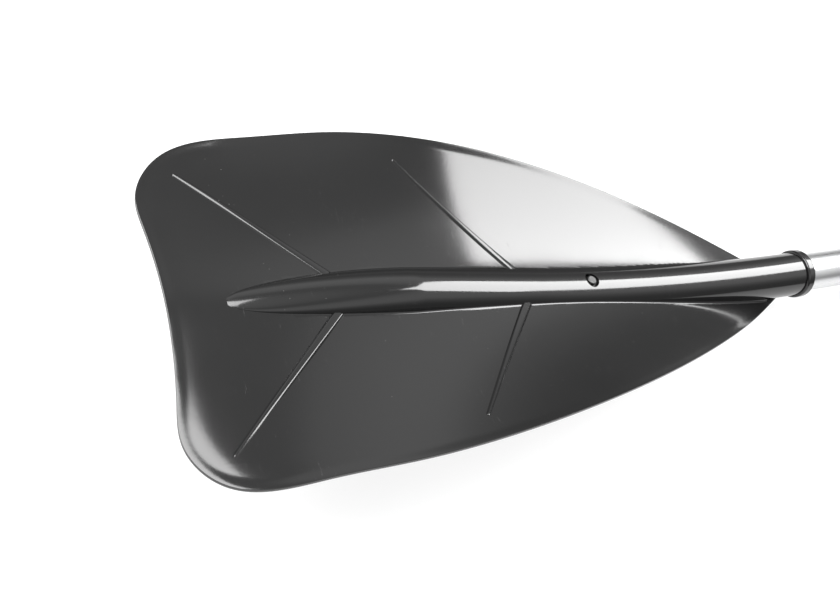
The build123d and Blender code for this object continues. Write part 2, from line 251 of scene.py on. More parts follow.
def add_mesh(name, points, faces):
    """Closed mesh object from millimetre points, its faces turned outwards."""
    data = bpy.data.meshes.new(name)
    data.from_pydata([tuple(p) for p in np.asarray(points, float) * MM], [], faces)
    tidy = bmesh.new()
    tidy.from_mesh(data)
    bmesh.ops.remove_doubles(tidy, verts=tidy.verts, dist=MERGE_M)
    bmesh.ops.recalc_face_normals(tidy, faces=tidy.faces)
    tidy.to_mesh(data)
    tidy.free()
    obj = bpy.data.objects.new(name, data)
    bpy.context.scene.collection.objects.link(obj)
    return obj


def grid_faces(index, wrap=False):
    """Quads over a 2-D array of point numbers, joined round the second way if wrapped."""
    if wrap:
        index = np.hstack([index, index[:, :1]])
    quads = np.stack([index[:-1, :-1], index[1:, :-1], index[1:, 1:], index[:-1, 1:]], -1)
    return quads.reshape(-1, 4).tolist()


def rings_mesh(name, rings):
    """Closed body from rings of equal point count, its two ends filled by fans."""
    rings = np.asarray(rings, float)
    rows, n = rings.shape[:2]
    points = np.vstack([rings.reshape(-1, 3), rings[0].mean(0), rings[-1].mean(0)])
    index = np.arange(rows * n).reshape(rows, n)
    faces = grid_faces(index, wrap=True)
    for ring, centre in ((index[0], rows * n), (index[-1], rows * n + 1)):
        faces += [(int(a), int(b), centre) for a, b in zip(ring, np.roll(ring, -1))]
    return add_mesh(name, points, faces)


def smooth(t):
    """Smooth step from 0 to 1."""
    return t * t * (3 - 2 * t)


def edge_drop(distance):
    """How far the rounded corner of the rim has dropped at a distance from the edge."""
    return EDGE_ROUND * (1 - np.sqrt(1 - np.clip(1 - distance / EDGE_ROUND, 0, 1) ** 2))


def rim_rise(distance):
    """Rise of the soft lip above the sheet at a distance from the edge."""
    return RIM_RISE * (1 - smooth(np.clip((distance - RIM_FLAT) / RIM_FADE, 0, 1)))


def end_curl(plan, outline):
    """Drop of the sheet close to the blade's end, where its skin rolls over."""
    distance = np.full(len(plan), np.inf)
    chunk = 50
    for start in range(0, len(outline), chunk):
        part = outline[start : start + chunk]
        gap = np.linalg.norm(plan[:, None] - part[None], axis=2).min(1)
        distance = np.minimum(distance, gap)
    near_end = smooth(np.clip((plan[:, 0] - CURL_START) / CURL_FADE, 0, 1))
    return CURL_DROP * near_end * np.clip(1 - distance / CURL_REACH, 0, 1) ** 2


def sheet_shell():
    """The blade's sheet as one closed body: a grid between its four sides inside a rim band."""
    side_rows, across = SHEET_GRID
    whole = Spline(np.vstack([OUTLINE, OUTLINE[-2::-1] * (1, -1)]))
    total = whole.t[-1]
    # the far corner is where the distance and the half width together are greatest
    probe = np.linspace(0, total / 2, PROBE_POINTS)
    corner = probe[np.argmax(whole.at(probe)[0].sum(1))]
    side = np.linspace(0, 1, side_rows)
    end = np.linspace(0, 1, across)
    stations = np.concatenate(
        [side * corner, corner + end[1:] * (total - 2 * corner), total - side[-2::-1] * corner]
    )
    edge, along = whole.at(stations)
    inward = np.stack([along[:, 1], -along[:, 0]], 1)
    # a grid blended from the four sides of the line that lies one band inside the edge
    inner = edge + inward * RIM_BAND
    right = inner[:side_rows]
    tip = inner[side_rows - 1 : side_rows + across - 1]
    left = inner[side_rows + across - 2 :][::-1]
    s = side[:, None, None]
    v = end[None, :, None]
    throat = right[0] + (left[0] - right[0]) * end[:, None]
    plan = (1 - v) * right[:, None] + v * left[:, None] + (1 - s) * throat[None] + s * tip[None]
    plan -= (1 - s) * ((1 - v) * right[0] + v * left[0]) + s * ((1 - v) * right[-1] + v * left[-1])
    # the rim's band between that grid and the edge
    offsets = np.array(RIM_OFFSETS)
    band = edge[:, None] + inward[:, None] * offsets[None, :, None]
    flat = np.vstack([plan.reshape(-1, 2), band.reshape(-1, 2)])
    z = sheet_height(flat[:, 0], flat[:, 1])
    n_plan = side_rows * across
    z -= end_curl(flat, whole.at(np.linspace(0, total, EDGE_POINTS))[0])
    lift = np.zeros(len(flat))
    lift[n_plan:] = np.tile(rim_rise(offsets) - edge_drop(offsets), len(edge))
    sink = np.zeros(len(flat))
    sink[n_plan:] = np.tile(edge_drop(offsets), len(edge))
    top = np.column_stack([MOUTH_X - flat[:, 0], flat[:, 1], z + lift])
    bottom = np.column_stack([MOUTH_X - flat[:, 0], flat[:, 1], z - SHEET_T + sink])
    # a line round the edge at half the thickness, which joins the two faces
    line = edge - inward * EDGE_LINE
    line_z = z[n_plan :: len(offsets)] - SHEET_T / 2
    middle = np.column_stack([MOUTH_X - line[:, 0], line[:, 1], line_z])
    index = np.arange(n_plan).reshape(side_rows, across)
    border = np.concatenate([index[:, 0], index[-1, 1:], index[-2::-1, -1]])
    strip = n_plan + np.arange(len(edge) * len(offsets)).reshape(len(edge), -1)
    strip = np.hstack([strip, border[:, None]])
    shift = len(flat)
    faces = grid_faces(index) + grid_faces(strip)
    faces += [[i + shift for i in quad] for quad in faces]
    waist = 2 * shift + np.arange(len(edge))
    faces += grid_faces(np.stack([strip[:, 0], waist, strip[:, 0] + shift]))
    # the wall across the throat
    throat_loop = np.concatenate([strip[0, :-1], index[0], strip[-1, -2::-1]])
    faces += grid_faces(np.stack([throat_loop, throat_loop + shift]))
    faces += [(int(strip[k, 0]), int(waist[k]), int(strip[k, 0] + shift)) for k in (0, -1)]
    return add_mesh("blade_body", np.vstack([top, bottom, middle]), faces)


# ---------------------------------------------------------------- the spine


def bend_frame(along):
    """Origin, across, crest and forward directions of the plane across the spine."""
    turn = min(along, BEND_LENGTH) / BEND_R
    forward = np.array([-math.cos(turn), 0, math.sin(turn)])
    crest = np.array([math.sin(turn), 0, math.cos(turn)])
    origin = np.array([MOUTH_X - BEND_R * math.sin(turn), 0, BEND_R * (1 - math.cos(turn))])
    origin = origin + forward * max(0.0, along - BEND_LENGTH)
    return origin, np.array([0, 1.0, 0]), crest, forward


def fade(t, start_power, end_power):
    """Fall from one to zero: flat at first, steep at the end, as set by the two powers."""
    return (1 - t**start_power) ** end_power


def spine_section(along):
    """Centre offset towards the crest, half width and half height of the spine."""
    t = (along - BEND_LENGTH - SPINE_STRAIGHT) / SPINE_TIP
    if t <= 0:
        return 0.0, SOCKET_R, SOCKET_R
    origin, _, up, _ = bend_frame(along)
    t = min(t, NOSE_END)
    sheet = (sheet_height(MOUTH_X - origin[0], 0.0) - origin[2]) * up[2]
    crest = sheet + CREST_OVER_SHEET * fade(t, *CREST_FADE)
    keel = min(-SOCKET_R + KEEL_RISE * t**KEEL_POWER, sheet - KEEL_COVER)
    foot = FOOT_HALF_WIDTH * fade(t, *FOOT_FADE)
    middle = (crest + keel) / 2
    half_height = (crest - keel) / 2
    return middle, foot / math.sqrt(1 - ((sheet - middle) / half_height) ** 2), half_height


def ellipse_ring(along, shift, half_width, half_height, count=SPINE_POINTS):
    """Points round a section of the spine."""
    origin, across, crest, _ = bend_frame(along)
    turn = np.linspace(0, 2 * math.pi, count, endpoint=False)[:, None]
    up = shift + half_height * np.sin(turn)
    return origin + across * half_width * np.cos(turn) + crest * up


def spine_shell():
    """Outside of the socket and its ridge, with the seat of the socket ring."""
    ends = [(0.0, SEAT_R), (SEAT_LENGTH - SEAT_STEP, SEAT_R), (SEAT_LENGTH, SOCKET_R)]
    rings = [ellipse_ring(along, 0, radius, radius) for along, radius in ends]
    length = BEND_LENGTH + SPINE_STRAIGHT
    nose = length + SPINE_TIP * NOSE_END * (1 - (1 - np.linspace(0, 1, NOSE_RINGS)) ** 2)
    socket = np.linspace(SEAT_LENGTH, length, SOCKET_RINGS)
    for along in np.concatenate([socket[1:], nose[1:]]):
        rings.append(ellipse_ring(along, *spine_section(along)))
    return rings_mesh("spine", rings)


def foot_polygon(along, side, under):
    """Section of the small round between the spine and the sheet, or None where there is none."""
    origin, across, crest, _ = bend_frame(along)
    shift, half_width, half_height = spine_section(along)
    away = -1.0 if under else 1.0
    drop = SHEET_T if under else 0.0

    def sheet_at(offset):
        """Height of the sheet in this section's plane at an offset from the spine's middle."""
        rise = 0.0
        rounds = 12
        for _ in range(rounds):
            p = origin + across * offset + crest * rise
            rise += (sheet_height(MOUTH_X - p[0], p[1]) - drop - p[2]) / crest[2]
        return rise

    length = BEND_LENGTH + SPINE_STRAIGHT + SPINE_TIP
    share = (length - FOOT_ROUND_END - along) / FOOT_ROUND_FADE
    ball = FOOT_ROUND * min(1.0, max(FOOT_ROUND_LEAST, share))

    def gap(angle):
        """Gap to the sheet under a ball that touches the spine at an angle, with its normals."""
        p = np.array([half_width * math.cos(angle), shift + half_height * math.sin(angle)])
        n = np.array([math.cos(angle) / half_width, math.sin(angle) / half_height])
        n /= np.linalg.norm(n)
        centre = p + n * ball
        rise = sheet_at(centre[0] + FOOT_SLOPE_STEP) - sheet_at(centre[0] - FOOT_SLOPE_STEP)
        slope = rise / (2 * FOOT_SLOPE_STEP)
        tilt = 1 / math.hypot(1, slope)
        normal = np.array([-slope, 1.0]) * tilt * away
        return (centre[1] - sheet_at(centre[0])) * tilt * away - ball, centre, n, normal

    # the angle at which the ball touches both is found by halving
    low, high = (-math.pi / 2 * away, math.pi / 2 * away)
    if gap(high)[0] < FOOT_OPEN or gap(low)[0] > 0:
        return None
    halvings = 30
    for _ in range(halvings):
        middle = (low + high) / 2
        if gap(middle)[0] < 0:
            low = middle
        else:
            high = middle
    _, centre, n, normal = gap(high)
    half_span = np.interp(MOUTH_X - origin[0], SIDE_OUTLINE[:, 0], SIDE_OUTLINE[:, 1])
    if half_span < centre[0] + FOOT_EDGE_GAP:
        return None
    if n @ normal > FOOT_FLAT:
        return None
    start = math.atan2(-n[1], -n[0])
    stop = math.atan2(-normal[1], -normal[0])
    sweep = (stop - start + math.pi) % (2 * math.pi) - math.pi
    radius = max(ball * FOOT_OVERLAP, ball + FOOT_OVERLAP_LEAST)
    turns = np.linspace(start, start + sweep, FOOT_ARC_POINTS)
    arc = [centre + radius * np.array([math.cos(a), math.sin(a)]) for a in turns]
    buried = [centre - normal * (ball + FOOT_BURIED[0]), centre - n * (ball + FOOT_BURIED[1])]
    outline = np.array(arc + buried)
    outline[:, 0] *= side
    return origin + across * outline[:, :1] + crest * outline[:, 1:]


def foot_rounds():
    """Small rounds along both feet of the spine, above and below the sheet."""
    made = []
    length = BEND_LENGTH + SPINE_STRAIGHT + SPINE_TIP
    stations = np.arange(FOOT_ROUND_START, length, FOOT_ROUND_STEP)
    for under in (False, True):
        for side in SIDES:
            rings = [foot_polygon(along, side, under) for along in stations]
            runs = [[]]
            for ring in rings:
                if ring is None:
                    runs.append([])
                else:
                    runs[-1].append(ring)
            longest = max(runs, key=len)
            if len(longest) >= FOOT_FEWEST_RINGS:
                made.append(rings_mesh("foot_round", longest))
    return made


def rib_shell(outer, inner, side):
    """Tapered flat-topped rib with quarter-round sides, closed and sunk into the sheet."""
    outer = np.array(outer)
    inner = np.array(inner)
    run = np.linalg.norm(inner - outer)
    forward = (inner - outer) / run
    across = np.array([-forward[1], forward[0]])
    rings = []
    for d in np.concatenate([RIB_CAP_STEPS, np.linspace(0, run, RIB_STATIONS)]):
        t = max(0.0, d / run)
        cap = math.sqrt(max(RIB_CAP_LEAST, 1 - (min(d, 0) / RIB_CAP) ** 2))
        half = (RIB_HALF_WIDTH + RIB_WIDENS * t) * cap
        height = (RIB_HEIGHT + RIB_RISES * t) * cap
        corner = min(RIB_CORNER, half)
        q = np.linspace(-RIB_UNDERCUT, 1.0, RIB_SIDE_POINTS)
        x = np.concatenate([half - q * corner, [0.0], -(half - q[::-1] * corner)])
        lift = height * np.sin(math.pi / 2 * np.concatenate([q, [1.0], q[::-1]]))
        x = np.concatenate([x, [-half * RIB_ROOT_SHARE, half * RIB_ROOT_SHARE]])
        lift = np.concatenate([lift, [-RIB_ROOT, -RIB_ROOT]])
        plan = outer + forward * d + across * x[:, None]
        z = sheet_height(plan[:, 0], plan[:, 1]) + lift
        rings.append(np.column_stack([MOUTH_X - plan[:, 0], plan[:, 1] * side, z]))
    return rings_mesh("rib", rings)


def combine(target, tool, operation):
    """Adds or cuts a closed body, then drops it."""
    modifier = target.modifiers.new("join", "BOOLEAN")
    modifier.operation = operation
    modifier.solver = "MANIFOLD"
    modifier.object = tool
    result = bpy.data.meshes.new_from_object(
        target.evaluated_get(bpy.context.evaluated_depsgraph_get())
    )
    target.modifiers.clear()
    target.data = result
    bpy.data.objects.remove(tool)


def shade(obj, angle=SHARP_ANGLE):
    """Smooth faces with sharp edges past an angle."""
    obj.data.shade_smooth()
    obj.data.set_sharp_from_angle(angle=math.radians(angle))


def cut_button_hole(blade):
    """Cuts the hole round the snap button, its edge a touch wider than its wall."""
    origin, across, crest, forward = bend_frame(BUTTON_ALONG)
    turn = np.linspace(0, 2 * math.pi, HOLE_POINTS, endpoint=False)[:, None]
    circle = across * np.cos(turn) + forward * np.sin(turn)
    hole = [origin + crest * height + circle * radius for height, radius in HOLE_PROFILE]
    combine(blade, rings_mesh("hole", hole), "DIFFERENCE")


def make_blade():
    """The whole blade as one closed mesh."""
    blade = sheet_shell()
    combine(blade, spine_shell(), "UNION")
    for tool in foot_rounds():
        combine(blade, tool, "UNION")
    for outer, inner in RIBS:
        for side in SIDES:
            combine(blade, rib_shell(outer, inner, side), "UNION")
    bore = np.linspace(-1.0, BORE_DEPTH, BORE_RINGS)
    rings = [ellipse_ring(along, 0, BORE_R, BORE_R, BORE_POINTS) for along in bore]
    combine(blade, rings_mesh("bore", rings), "DIFFERENCE")
    cut_button_hole(blade)
    shade(blade)
    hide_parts("blade")
    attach(blade, "oar")
    return blade


# ---------------------------------------------------------------- soft and turned pieces

FOAM_WAVES = 6
FOAM_WAVE = 0.03
FOAM_TWIST = 0.05
FOAM_SINK = 0.12
FOAM_PIT = 0.05
FOAM_STEP = 3
FOAM_POINTS = 60
# length and depth of the chamfer at each end
FOAM_END = (0.6, 1.2)
BUNG_POINTS = 72
# distance along the spine's arc and radius of each ring of the bung
BUNG_PROFILE = (
    (228.1, 11.2), (229.0, 12.1), (230.2, 12.55), (231.4, 12.0), (232.6, 11.7),
    (233.8, 12.0), (235.0, 12.55), (236.4, 12.3), (237.9, 11.4),
)
GRIP_BORE = 14.03
GRIP_GROOVES = 12
GRIP_FIRST_GROOVE = 13.5
GRIP_GROOVE_DEPTH = 1.1
GRIP_GROOVE_HALF = 1.9
GRIP_PLAIN_ENDS = 16.0
GRIP_STEP = 0.45
GRIP_POINTS = 288
GRIP_FLUTES = 48
GRIP_FLUTE_DEPTH = 0.11
# plain lengths without flutes at the blade end and the hand end
GRIP_FLUTE_ENDS = (9.0, 4.0)
# distance from the grip's blade end and drop below its radius, over the rounded end
GRIP_NOSE = ((0.0, 2.4), (0.6, 1.1), (2.0, 0.2))
# where the grooved length starts and stops, from the two ends
GRIP_BODY_ENDS = (3.0, 1.0)
# distance from the hand end and drop below the grip's radius
GRIP_TAIL = ((0.8, 0.0), (0.0, 0.5))


def turned_rings(profile, count, skin):
    """Rings about X from (x, radius) points; skin adds to the radius round a ring."""
    turn = np.linspace(0, 2 * math.pi, count, endpoint=False)
    rings = []
    for x, radius in profile:
        r = radius + skin(x, radius, turn)
        rings.append(np.column_stack([np.full(count, x), r * np.cos(turn), r * np.sin(turn)]))
    return np.array(rings)


def foam_plug(node, seed):
    """Cut foam rod with a pitted, slightly wavy skin."""
    low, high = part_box(node)
    x0, x1, radius = low.x / MM, high.x / MM, high.z / MM
    random = np.random.default_rng(seed)
    waves = random.uniform(0, 2 * math.pi, FOAM_WAVES)

    def skin(x, _, turn):
        wave = sum(
            np.sin((i + 2) * turn + waves[i] + x * FOAM_TWIST * (i + 1)) for i in range(FOAM_WAVES)
        )
        pits = random.uniform(-FOAM_PIT, 0.0, len(turn))
        return FOAM_WAVE * wave - FOAM_SINK + pits

    inset, shoulder = FOAM_END
    stations = np.linspace(x0 + inset, x1 - inset, int((x1 - x0) / FOAM_STEP))
    body = [(x, radius) for x in stations]
    profile = [(x0, radius - shoulder), *body, (x1, radius - shoulder)]
    rings = turned_rings(profile, FOAM_POINTS, skin)
    return finish_soft(rings_mesh(node + "_foam", rings), node)


def finish_soft(obj, node):
    """Shades a piece that stands for a node and lets it ride on that node's body."""
    shade(obj, SOFT_SHARP_ANGLE)
    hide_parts(node)
    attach(obj, NODES[node]["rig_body"])
    return obj


def end_bung():
    """Rubber bung with two sealing lips at the end of the bent tube."""
    rings = [ellipse_ring(along, 0, radius, radius, BUNG_POINTS) for along, radius in BUNG_PROFILE]
    return finish_soft(rings_mesh("lower_shaft_bung", rings), "lower_shaft_plug")


def leaf_spring(node, joint, axis, foot, pressed_share):
    """Copy of a button's leaf spring, put on the oar's body in place of the node."""
    leaf = NODES[node].copy()
    leaf.data = leaf.data.copy()
    leaf.name = node + "_leaf"
    bpy.context.scene.collection.objects.link(leaf)
    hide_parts(node)
    leaf.hide_render = leaf.hide_viewport = False
    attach(leaf, "oar")
    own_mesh(leaf)
    return leaf


def button_springs():
    """The two leaf springs, each with its foot on the far side of its bore."""
    origin, _, crest, _ = bend_frame(BUTTON_ALONG)
    blade_foot = Vector((origin - crest * SPRING_FOOT) * MM)
    low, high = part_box("joint_button_spring")
    joint_foot = ((low.x + high.x) / 2, 0, low.z)
    blade = ("blade_button_spring", "blade_button_press", tuple(crest), blade_foot)
    joint = ("joint_button_spring", "joint_button_press", (0, 0, 1), joint_foot)
    return [leaf_spring(*blade, BLADE_SPRING_PRESSED), leaf_spring(*joint, JOINT_SPRING_PRESSED)]


def hand_grip():
    """Moulded rubber grip with rounded finger ridges and fine lengthwise flutes."""
    low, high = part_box("grip")
    x0, x1, radius = low.x / MM, high.x / MM, high.z / MM
    first = x0 + GRIP_FIRST_GROOVE
    pitch = (x1 - x0 - GRIP_PLAIN_ENDS) / GRIP_GROOVES
    last = first + (GRIP_GROOVES - 1) * pitch
    half = GRIP_GROOVE_HALF

    def dip(x):
        phase = (x - first) / pitch
        near = (phase - round(phase)) * pitch
        if abs(near) >= half or not first - half < x < last + half:
            return 0
        return GRIP_GROOVE_DEPTH * 0.5 * (1 + math.cos(math.pi * near / half))

    def flutes(x, _, turn):
        if x0 + GRIP_FLUTE_ENDS[0] < x < x1 - GRIP_FLUTE_ENDS[1]:
            return (np.cos(GRIP_FLUTES * turn) - 1.0) * GRIP_FLUTE_DEPTH
        return np.zeros(len(turn))

    profile = [(x0, GRIP_BORE)]
    profile += [(x0 + back, radius - drop) for back, drop in GRIP_NOSE]
    body = np.arange(x0 + GRIP_BODY_ENDS[0], x1 - GRIP_BODY_ENDS[1], GRIP_STEP)
    profile += [(x, radius - dip(x)) for x in body]
    profile += [(x1 - back, radius - drop) for back, drop in GRIP_TAIL] + [(x1, GRIP_BORE)]
    rings = turned_rings(profile, GRIP_POINTS, flutes)
    index = np.arange(rings.shape[0] * rings.shape[1]).reshape(rings.shape[:2])
    index = np.vstack([index, index[:1]])
    grip = add_mesh("grip_rubber", rings.reshape(-1, 3), grid_faces(index, wrap=True))
    return finish_soft(grip, "grip")


# ---------------------------------------------------------------- materials


# how far down the socket the tube's painted shade is full, and where it begins
SOCKET_SHADE_FULL = 150.0
SOCKET_SHADE_NONE = 100.0
# the sleeve's rubbed zone: its middle, and half lengths where the rubbing is full and has ended
RUB_MIDDLE_M = 0.005
RUB_FULL_M = 0.03
RUB_NONE_M = 0.06


class Paint:
    """One node material, with short helpers for its parts."""

    def __init__(self, name):
        self.material = bpy.data.materials.new(name)
        self.material.use_nodes = True
        self.tree = self.material.node_tree
        self.shader = self.tree.nodes["Principled BSDF"]
        coords = self.tree.nodes.new("ShaderNodeTexCoord")
        self.coords = coords.outputs["Object"]

    def link(self, a, b):
        self.tree.links.new(a, b)

    def set(self, **values):
        for key, value in values.items():
            self.shader.inputs[key.replace("_", " ")].default_value = value

    def scaled(self, scale):
        """Object coordinates stretched by three factors."""
        node = self.tree.nodes.new("ShaderNodeMapping")
        node.inputs["Scale"].default_value = scale
        self.link(self.coords, node.inputs["Vector"])
        return node.outputs["Vector"]

    def noise(self, scale, detail=4.0, rough=0.6, stretch=(1, 1, 1)):
        """Cloudy pattern from 0 to 1."""
        node = self.tree.nodes.new("ShaderNodeTexNoise")
        node.inputs["Scale"].default_value = scale
        node.inputs["Detail"].default_value = detail
        node.inputs["Roughness"].default_value = rough
        self.link(self.scaled(stretch), node.inputs["Vector"])
        return node.outputs["Fac"]

    def specks(self, scale, size):
        """Mask of small scattered spots, 1 inside a spot."""
        node = self.tree.nodes.new("ShaderNodeTexVoronoi")
        node.inputs["Scale"].default_value = scale
        self.link(self.coords, node.inputs["Vector"])
        return self.ramp(node.outputs["Distance"], size, size * 0.5)

    def ramp(self, value, low, high, out_low=0.0, out_high=1.0):
        """Smooth step between two values of the input."""
        node = self.tree.nodes.new("ShaderNodeMapRange")
        node.interpolation_type = "SMOOTHSTEP"
        limits = {"From Min": low, "From Max": high, "To Min": out_low, "To Max": out_high}
        for key, number in limits.items():
            node.inputs[key].default_value = number
        self.link(value, node.inputs["Value"])
        return node.outputs["Result"]

    def math(self, operation, a, b):
        node = self.tree.nodes.new("ShaderNodeMath")
        node.operation = operation
        for socket, value in zip(node.inputs, (a, b)):
            if isinstance(value, (int, float)):
                socket.default_value = value
            else:
                self.link(value, socket)
        return node.outputs[0]

    def mix(self, factor, a, b):
        """Colour between two colours or sockets."""
        node = self.tree.nodes.new("ShaderNodeMix")
        node.data_type = "RGBA"
        if isinstance(factor, (int, float)):
            node.inputs["Factor"].default_value = factor
        else:
            self.link(factor, node.inputs["Factor"])
        for socket, value in ((node.inputs[6], a), (node.inputs[7], b)):
            if isinstance(value, tuple):
                socket.default_value = (*value, 1.0)
            else:
                self.link(value, socket)
        return node.outputs[2]

    def axis(self, name):
        """One object coordinate, in metres."""
        node = self.tree.nodes.new("ShaderNodeSeparateXYZ")
        self.link(self.coords, node.inputs["Vector"])
        return node.outputs[name]

    def bump(self, height, distance_m, strength):
        """Adds a relief on top of the reliefs already there."""
        node = self.tree.nodes.new("ShaderNodeBump")
        node.inputs["Strength"].default_value = strength
        node.inputs["Distance"].default_value = distance_m
        self.link(height, node.inputs["Height"])
        before = self.shader.inputs["Normal"]
        if before.is_linked:
            self.link(before.links[0].from_socket, node.inputs["Normal"])
        self.link(node.outputs["Normal"], before)

    def colour(self, socket):
        self.link(socket, self.shader.inputs["Base Color"])

    def rough(self, socket):
        self.link(socket, self.shader.inputs["Roughness"])

    def put_on(self, *objects):
        for obj in objects:
            obj.data.materials.clear()
            obj.data.materials.append(self.material)
            for face in obj.data.polygons:
                face.material_index = 0


def gloss_black(name, base, rough):
    """Moulded black plastic with faint flow marks, fine scratches and dust."""
    paint = Paint(name)
    cloud = paint.noise(9.0, 3.0)
    scratch = paint.ramp(paint.noise(60.0, 8.0, 0.75, (14, 1.6, 1.6)), 0.60, 0.72)
    cross = paint.ramp(paint.noise(50.0, 8.0, 0.75, (1.6, 12, 1.6)), 0.63, 0.74)
    worn = paint.ramp(paint.noise(13.0, 5.0, 0.65), 0.48, 0.66)
    scuff = paint.math("MULTIPLY", paint.math("MAXIMUM", scratch, cross), worn)
    dust = paint.specks(300.0, 0.07)
    rare = paint.ramp(paint.noise(38.0, 2.0), 0.60, 0.66)
    dust = paint.math("MULTIPLY", dust, rare)
    tone = paint.mix(cloud, (base * 0.9, base * 0.9, base * 0.92), (base * 1.25,) * 3)
    tone = paint.mix(paint.math("MULTIPLY", scuff, 0.18), tone, (0.16, 0.16, 0.16))
    paint.colour(paint.mix(paint.math("MULTIPLY", dust, 0.5), tone, (0.22, 0.22, 0.21)))
    level = paint.ramp(cloud, 0.3, 0.7, rough - 0.02, rough + 0.03)
    paint.rough(paint.math("ADD", level, paint.math("MULTIPLY", scuff, 0.10)))
    paint.bump(paint.noise(420.0, 2.0), 0.00002, 0.35)
    paint.bump(scuff, 0.00002, 0.5)
    paint.set(IOR=1.5)
    return paint


def tube_metal():
    """Satin anodised tube with drawing lines, handling marks and painted shade inside the socket."""
    paint = Paint("tube_aluminium")
    lines = paint.noise(240.0, 4.0, 0.6, (0.03, 1, 1))
    cloud = paint.noise(20.0, 4.0)
    mark = paint.ramp(paint.noise(90.0, 6.0, 0.7, (1, 0.25, 0.25)), 0.66, 0.74)
    tone = paint.mix(cloud, (0.52, 0.525, 0.53), (0.62, 0.625, 0.63))
    tone = paint.mix(paint.math("MULTIPLY", mark, 0.35), tone, (0.36, 0.36, 0.36))
    # painted shade: the tube's colour goes near black deep inside the socket, where the socket's
    # shade falls
    shade_span = [(MOUTH_X - back) * MM for back in (SOCKET_SHADE_FULL, SOCKET_SHADE_NONE)]
    painted_shade = paint.ramp(paint.axis("X"), *shade_span, 1.0, 0.0)
    paint.colour(paint.mix(painted_shade, tone, (0.02, 0.02, 0.02)))
    paint.rough(paint.ramp(lines, 0.3, 0.7, 0.24, 0.36))
    paint.bump(lines, 0.00002, 0.4)
    paint.set(Metallic=1.0, Anisotropic=0.5)
    return paint


def bright_steel(name, tone_low, tone_high, rough):
    """Machined steel with turning lines and light tarnish."""
    paint = Paint(name)
    lines = paint.noise(900.0, 3.0, 0.5, (1, 1, 0.15))
    cloud = paint.noise(150.0, 4.0)
    paint.colour(paint.mix(cloud, (tone_low,) * 3, (tone_high,) * 3))
    paint.rough(paint.ramp(cloud, 0.3, 0.7, rough, rough + 0.14))
    paint.bump(lines, 0.00002, 0.3)
    paint.set(Metallic=1.0)
    return paint


def black_rubber():
    """Matt rubber with a fine grain, a dusty bloom and rubbed patches."""
    paint = Paint("rubber")
    bloom = paint.noise(30.0, 5.0, 0.65)
    grain = paint.noise(1400.0, 3.0)
    rubbed = paint.ramp(paint.noise(16.0, 4.0), 0.52, 0.68)
    tone = paint.mix(bloom, (0.012, 0.012, 0.012), (0.030, 0.029, 0.028))
    paint.colour(paint.mix(paint.math("MULTIPLY", rubbed, 0.35), tone, (0.06, 0.059, 0.057)))
    paint.rough(paint.ramp(bloom, 0.3, 0.7, 0.55, 0.78))
    paint.bump(grain, 0.00008, 0.5)
    return paint


def satin_plastic():
    """Black sleeve plastic with spark-eroded grain and round-the-shaft rubbing marks."""
    paint = Paint("sleeve_plastic")
    cloud = paint.noise(24.0, 4.0)
    grain = paint.noise(1100.0, 3.0)
    rings = paint.ramp(paint.noise(120.0, 6.0, 0.7, (6, 0.35, 0.35)), 0.54, 0.70)
    off_middle = paint.math("SUBTRACT", paint.axis("X"), RUB_MIDDLE_M)
    zone = paint.ramp(paint.math("ABSOLUTE", off_middle, 0.0), RUB_NONE_M, RUB_FULL_M)
    worn = paint.math("MULTIPLY", rings, zone)
    tone = paint.mix(cloud, (0.015, 0.015, 0.016), (0.028, 0.028, 0.029))
    paint.colour(paint.mix(paint.math("MULTIPLY", worn, 0.6), tone, (0.12, 0.12, 0.12)))
    level = paint.ramp(cloud, 0.3, 0.7, 0.34, 0.48)
    paint.rough(paint.math("SUBTRACT", level, paint.math("MULTIPLY", worn, 0.12)))
    paint.bump(grain, 0.00005, 0.4)
    paint.bump(worn, 0.00003, 0.5)
    return paint


def pale_foam():
    """Closed-cell foam, off-white, pitted and a little yellowed."""
    paint = Paint("float_foam")
    cloud = paint.noise(26.0, 4.0)
    cells = paint.specks(520.0, 0.55)
    tone = paint.mix(cloud, (0.80, 0.79, 0.74), (0.90, 0.89, 0.85))
    paint.colour(paint.mix(paint.math("MULTIPLY", cells, 0.25), tone, (0.62, 0.60, 0.54)))
    paint.rough(paint.ramp(cloud, 0.3, 0.7, 0.75, 0.9))
    paint.bump(cells, 0.0002, 0.6)
    return paint


# ---------------------------------------------------------------- light, floor and camera


# brightness of the room by elevation in degrees, as shares of ROOM_SCALE
ROOM_SCALE = 2.0
ROOM_LIGHT = (
    (0, 0.15), (14, 0.16), (24, 0.35), (36, 0.7), (48, 0.62), (57, 0.36), (70, 0.5), (90, 0.6),
)
# brightness of the plain backdrop that only the camera sees
BACKDROP = 1.0
# the two soft boxes: azimuth and elevation in degrees, distance and size in metres, watts, roll
KEY = (6.5, 42, 1.2, (0.72, 0.54), 18.5, -35.0)
FILL = (150, 62, 1.3, (1.04, 1.0), 39, 0.0)
# points the boxes face, in metres from the socket mouth
KEY_TARGET = (-0.22, 0, 0.02)
FILL_TARGET = (-0.42, 0, 0.02)
FLOOR_GAP_M = 0.004
FLOOR_HALF_M = 12.0
FLOOR_TONE = 0.22
FLOOR_ROUGH = 0.8
FLOOR_GLOW = 0.8
# the camera, in metres from the socket mouth, with its right and up directions
CAMERA_FROM_MOUTH = (-0.50213, -0.22083, 0.43015)
CAMERA_RIGHT = (0.91694, -0.30121, 0.26172)
CAMERA_UP = (0.12446, 0.83905, 0.52962)
CAMERA_LENS = 36.43
MOUTH_M = Vector((MOUTH_X * MM, 0, 0))


